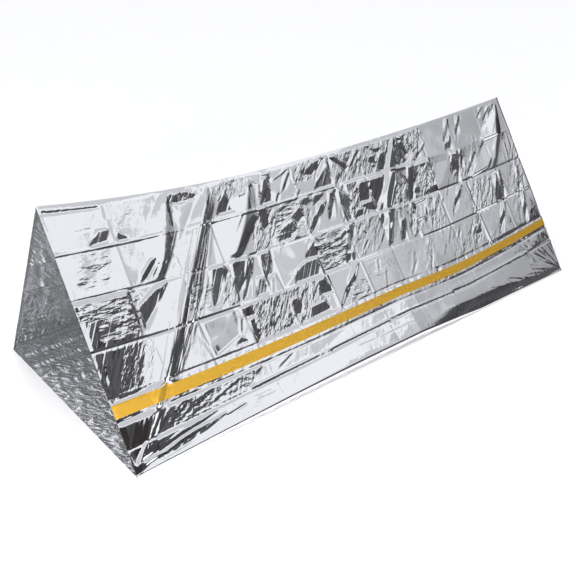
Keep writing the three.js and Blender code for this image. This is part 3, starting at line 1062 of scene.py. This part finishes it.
def film_material():
    """Metallised film: its finest crumples follow its own flat measure, where the marks on it say."""
    material, nodes, links, shader = new_material("silver_film")
    shader.inputs["Base Color"].default_value = SILVER
    shader.inputs["Metallic"].default_value = 1.0

    def vector_math(operation, first, second):
        made = add_node(nodes, "ShaderNodeVectorMath", {1: second}, operation=operation)
        links.new(first, made.inputs[0])
        return made.outputs[0]

    def maths(operation, first, second):
        made = add_node(nodes, "ShaderNodeMath", operation=operation)
        for socket, value in zip(made.inputs, (first, second)):
            if isinstance(value, (int, float)):
                socket.default_value = value
            else:
                links.new(value, socket)
        return made.outputs[0]

    def shards(flat, across, along, height):
        """Small flat facets: the squared distances to two fields of sites, one less the other."""
        squares = []
        for shift in SHARD_SHIFTS:
            scaled = vector_math("MULTIPLY", flat, (1 / across, 1 / along, 1))
            field = add_node(nodes, "ShaderNodeTexVoronoi", {"Scale": 1}, voronoi_dimensions="2D")
            links.new(vector_math("ADD", scaled, shift), field.inputs["Vector"])
            squares.append(maths("POWER", field.outputs["Distance"], 2))
        return maths("MULTIPLY", maths("SUBTRACT", *squares), height)

    flat = add_node(nodes, "ShaderNodeUVMap", uv_map="flat").outputs["UV"]
    upright = add_node(nodes, "ShaderNodeUVMap", uv_map="upright").outputs["UV"]
    lean, level, streak = (add_node(nodes, "ShaderNodeAttribute", attribute_name=name).outputs["Fac"]
                           for name in ("lean", "level", "streak"))
    leaning = maths("ADD", *[shards(flat, *layer) for layer in LEANING_SHARDS])
    lying = maths("ADD", *[shards(upright, *layer) for layer in LEVEL_SHARDS])
    streaks = maths("MULTIPLY", shards(flat, *STREAK_SHARDS), streak)
    crumples = maths("ADD", maths("MULTIPLY", leaning, lean), maths("MULTIPLY", lying, level))
    height = maths("ADD", crumples, streaks)
    worn = add_node(nodes, "ShaderNodeTexNoise", {"Scale": 14, "Detail": 4})
    sheen = {"From Min": 0.3, "From Max": 0.7, "To Min": 0.04, "To Max": 0.09}
    roughness = add_node(nodes, "ShaderNodeMapRange", sheen)
    bump = add_node(nodes, "ShaderNodeBump", {"Strength": 1.0, "Distance": 1.0})
    links.new(upright, worn.inputs["Vector"])
    links.new(worn.outputs["Fac"], roughness.inputs["Value"])
    links.new(roughness.outputs["Result"], shader.inputs["Roughness"])
    links.new(height, bump.inputs["Height"])
    links.new(bump.outputs["Normal"], shader.inputs["Normal"])
    return material


def tape_material():
    """Matt yellow tape with faint streaks along it and small uneven spots."""
    material, nodes, links, shader = new_material("yellow_tape")
    shader.inputs["Roughness"].default_value = 0.45
    shader.inputs["Specular IOR Level"].default_value = 0.2
    flat = add_node(nodes, "ShaderNodeUVMap", uv_map="upright")
    stretched = add_node(nodes, "ShaderNodeVectorMath", {1: TAPE_STREAKS}, operation="MULTIPLY")
    streaks = add_node(nodes, "ShaderNodeTexNoise", {"Scale": 1, "Detail": 5})
    colours = two_tones(nodes, (DARK_YELLOW, LIGHT_YELLOW), (0.3, 0.7))
    bump = add_node(nodes, "ShaderNodeBump", {"Strength": 0.5, "Distance": 0.0006})
    links.new(flat.outputs["UV"], stretched.inputs[0])
    links.new(stretched.outputs[0], streaks.inputs["Vector"])
    links.new(streaks.outputs["Fac"], colours.inputs["Fac"])
    links.new(colours.outputs["Color"], shader.inputs["Base Color"])
    links.new(streaks.outputs["Fac"], bump.inputs["Height"])
    links.new(bump.outputs["Normal"], shader.inputs["Normal"])
    return material


def emission_material(name, radiance):
    material, nodes, links, shader = new_material(name)
    nodes.remove(shader)
    glow = add_node(nodes, "ShaderNodeEmission", {"Color": COOL_WHITE, "Strength": radiance})
    links.new(glow.outputs[0], nodes["Material Output"].inputs["Surface"])
    return material


def reflector(name, azimuths, elevations, material):
    """A curved sheet of light that the film mirrors and the camera doesn't see."""
    angles = []
    for first, last in (azimuths, elevations):
        count = math.ceil((last - first) / REFLECTOR_STEP) + 1
        angles.append(np.radians(np.linspace(first, last, count)))
    a, e = np.meshgrid(*angles)
    directions = np.stack([np.sin(a) * np.cos(e), -np.cos(a) * np.cos(e), np.sin(e)], -1)
    sheet = grid_object(name, REFLECTOR_DISTANCE * directions)
    sheet.data.materials.append(material)
    sheet.visible_camera = False
    sheet.visible_shadow = False


def place_lamp(lamp, place, aim):
    """Points a lamp at a place. The film doesn't mirror it."""
    holder = add_object(lamp.name, lamp)
    holder.location = place
    holder.rotation_euler = (Vector(aim) - Vector(place)).to_track_quat("-Z", "Y").to_euler()
    holder.visible_glossy = False


def build_lights():
    """Reflectors for the film to mirror, two soft lamps for the rest, and a pale room behind the tent."""
    for place, (azimuths, elevations, radiance) in enumerate(REFLECTORS):
        material = emission_material(f"reflector_{place}", radiance)
        for turn in ((0,) if place == 0 else (0, 180)):
            turned = [azimuth + turn for azimuth in azimuths]
            reflector(f"reflector_{place}_{turn}", turned, elevations, material)

    overhead = bpy.data.lights.new("overhead", "SUN")
    overhead.energy = 2.0
    overhead.angle = math.radians(60)
    place_lamp(overhead, (0.3, 0.8, 5), (0, 0, 0))
    beside = bpy.data.lights.new("beside", "AREA")
    beside.energy = 172
    beside.size = 1.5
    place_lamp(beside, (-2.6, -2.6, 0.7), (-1.0, -0.3, 0.3))

    world = bpy.data.worlds.new("studio")
    bpy.context.scene.world = world
    world.use_nodes = True
    nodes, links = world.node_tree.nodes, world.node_tree.links
    dark = nodes["Background"]
    dark.inputs["Color"].default_value = DARK_ROOM
    pale = add_node(nodes, "ShaderNodeBackground", {"Color": PALE_ROOM})
    seen = nodes.new("ShaderNodeLightPath")
    mix = nodes.new("ShaderNodeMixShader")
    links.new(seen.outputs["Is Camera Ray"], mix.inputs[0])
    links.new(dark.outputs[0], mix.inputs[1])
    links.new(pale.outputs[0], mix.inputs[2])
    links.new(mix.outputs[0], nodes["World Output"].inputs[0])
    bpy.context.scene.cycles.max_bounces = 20
    bpy.context.scene.cycles.glossy_bounces = 20


def build_floor():
    """The pale floor, a hair below the film. Sizes are in metres."""
    size, drop = 40, 0.0005
    x, y = np.meshgrid([-size, size], [-size, size])
    floor = grid_object("floor", np.stack([x, y, 0 * x], -1), True)
    floor.location.z = -drop
    material, nodes, links, shader = new_material("pale_floor")
    shader.inputs["Roughness"].default_value = 0.9
    clouds = add_node(nodes, "ShaderNodeTexNoise", {"Scale": 240, "Detail": 6})
    shades = two_tones(nodes, FLOOR_GREYS, (0, 1))
    links.new(clouds.outputs["Fac"], shades.inputs["Fac"])
    links.new(shades.outputs["Color"], shader.inputs["Base Color"])
    floor.data.materials.append(material)


def build_camera():
    camera = bpy.data.cameras.new("camera")
    camera.sensor_width = 36
    camera.lens = 47.17
    holder = add_object("camera", camera)
    yaw, pitch = 0.69349, 0.46899
    holder.location = (-2.0261, -2.2490, 1.6250)
    forward = Vector((math.sin(yaw) * math.cos(pitch), math.cos(yaw) * math.cos(pitch), -math.sin(pitch)))
    holder.rotation_euler = forward.to_track_quat("-Z", "Y").to_euler()
    bpy.context.scene.camera = holder


front = Wall(-1, LINES, FRONT_PITCH, SEED)
back = Wall(1, BACK_LINES, BACK_PITCH, SEED + 1)
middle_row = front.line_row("crease_3") + 1
film_upper = wall_sheet("film_front_upper", front, 0, middle_row, False)
film_lower = wall_sheet("film_front_lower", front, middle_row, len(front.y) - 1, False)
film_back = wall_sheet("film_back", back, 0, len(back.y) - 1, True)
film_floor = build_floor_panel(front, back)
tape = build_tape(front)
silver = film_material()
for piece in (film_upper, film_lower, film_back, film_floor):
    piece.data.materials.append(silver)
    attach(piece, "root")
    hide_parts("film")
tape.data.materials.append(tape_material())
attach(tape, "root")
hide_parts("seam_tape")

build_floor()
build_lights()
build_camera()
bpy.context.scene.view_settings.view_transform = "Standard"
